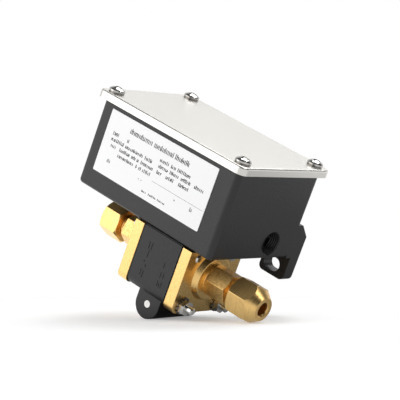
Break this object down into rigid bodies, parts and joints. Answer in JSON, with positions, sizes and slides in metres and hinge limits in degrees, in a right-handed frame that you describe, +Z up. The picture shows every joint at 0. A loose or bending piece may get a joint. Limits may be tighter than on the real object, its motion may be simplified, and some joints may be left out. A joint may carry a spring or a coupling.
{
  "type": "differential pressure switch",
  "caption": "Wall-mounted differential pressure switch: boxed switching mechanism with a sheet steel lid over a brass-flanged diaphragm sensor with flare fittings.",
  "frame": {"origin": "in the wall plane, midway between the centres of the two wall slots", "axes": "+X along the case towards the cable entry, +Y into the wall, +Z up towards the lid"},
  "size_m": [0.1216, 0.0763, 0.0979],
  "materials": {
    "black_moulding": "fine grained",
    "brown_moulding": "satin",
    "white_moulding": "satin",
    "lid_steel": "brushed",
    "zinc_steel": "bright zinc plated",
    "rubber": "matt",
    "label_film": "semi-gloss",
    "brass": "turned",
    "aluminium": "satin"
  },
  "bodies": {
    "case": {"switch_case": "black_moulding", "lid": "lid_steel", "lid_gasket": "rubber", "lid_screws": "zinc_steel", "lid_lock_washers": "zinc_steel", "front_label": "label_film", "sensor_body": "black_moulding", "body_seal": "rubber", "body_screws": "zinc_steel", "right_flange": "brass", "left_flange": "brass", "right_diaphragm": "rubber", "left_diaphragm": "rubber", "right_adapter": "brass", "left_adapter": "brass", "right_port_washer": "brass", "left_port_washer": "brass", "tie_bolts": "zinc_steel", "tie_washers": "zinc_steel", "tie_nuts": "zinc_steel", "pivot_pin": "zinc_steel", "mechanism_plate": "zinc_steel", "plate_screws": "zinc_steel", "microswitch_body": "brown_moulding", "microswitch_terminals": "brass", "terminal_screws": "zinc_steel", "switch_screws": "zinc_steel", "switch_nuts": "zinc_steel", "range_spring": "zinc_steel", "scale_plate": "aluminium", "earth_screw": "brass", "earth_washer": "brass", "earth_nut": "brass"},
    "push_rods": {"right_push_rod": "white_moulding", "left_push_rod": "white_moulding"},
    "lever": {"main_lever": "zinc_steel"},
    "switch_plunger": {"microswitch_plunger": "white_moulding"},
    "range_screw": {"range_screw": "brass", "range_screw_clip": "zinc_steel"},
    "range_nut": {"range_nut": "brass"},
    "right_flare_nut": {"right_flare_nut": "brass"},
    "left_flare_nut": {"left_flare_nut": "brass"}
  },
  "joints": [
    {"name": "push_slide", "type": "slide", "parent": "case", "child": "push_rods", "axis": [1, 0, 0], "range_m": [-0.0004, 0.0004], "deforming": ["right_diaphragm", "left_diaphragm"]},
    {"name": "lever_pivot", "type": "hinge", "parent": "case", "child": "lever", "pos_m": [0.0166, -0.053, -0.0306], "axis": [0, 1, 0], "range_deg": [-0.96, 0.96], "deforming": ["range_spring"]},
    {"name": "switch_plunger_slide", "type": "slide", "parent": "case", "child": "switch_plunger", "axis": [1, 0, 0], "range_m": [-0.00107, 0.00107]},
    {"name": "range_screw_turn", "type": "hinge", "parent": "case", "child": "range_screw", "pos_m": [0, -0.053, 0.0414], "axis": [1, 0, 0], "range_deg": [-1450, 1450]},
    {"name": "range_nut_slide", "type": "slide", "parent": "case", "child": "range_nut", "axis": [1, 0, 0], "range_m": [-0.0032, 0.0032], "deforming": ["range_spring"]},
    {"name": "right_flare_nut_turn", "type": "hinge", "parent": "case", "child": "right_flare_nut", "pos_m": [0, -0.053, -0.0064], "axis": [1, 0, 0], "continuous": true},
    {"name": "left_flare_nut_turn", "type": "hinge", "parent": "case", "child": "left_flare_nut", "pos_m": [0, -0.053, -0.0064], "axis": [1, 0, 0], "continuous": true}
  ],
  "couplings": [
    {"joint": "lever_pivot", "follows": "push_slide", "rad_per_m": 41.322},
    {"joint": "switch_plunger_slide", "follows": "push_slide", "ratio": 2.6116},
    {"joint": "range_screw_turn", "follows": "range_nut_slide", "rad_per_m": -7854}
  ]
}
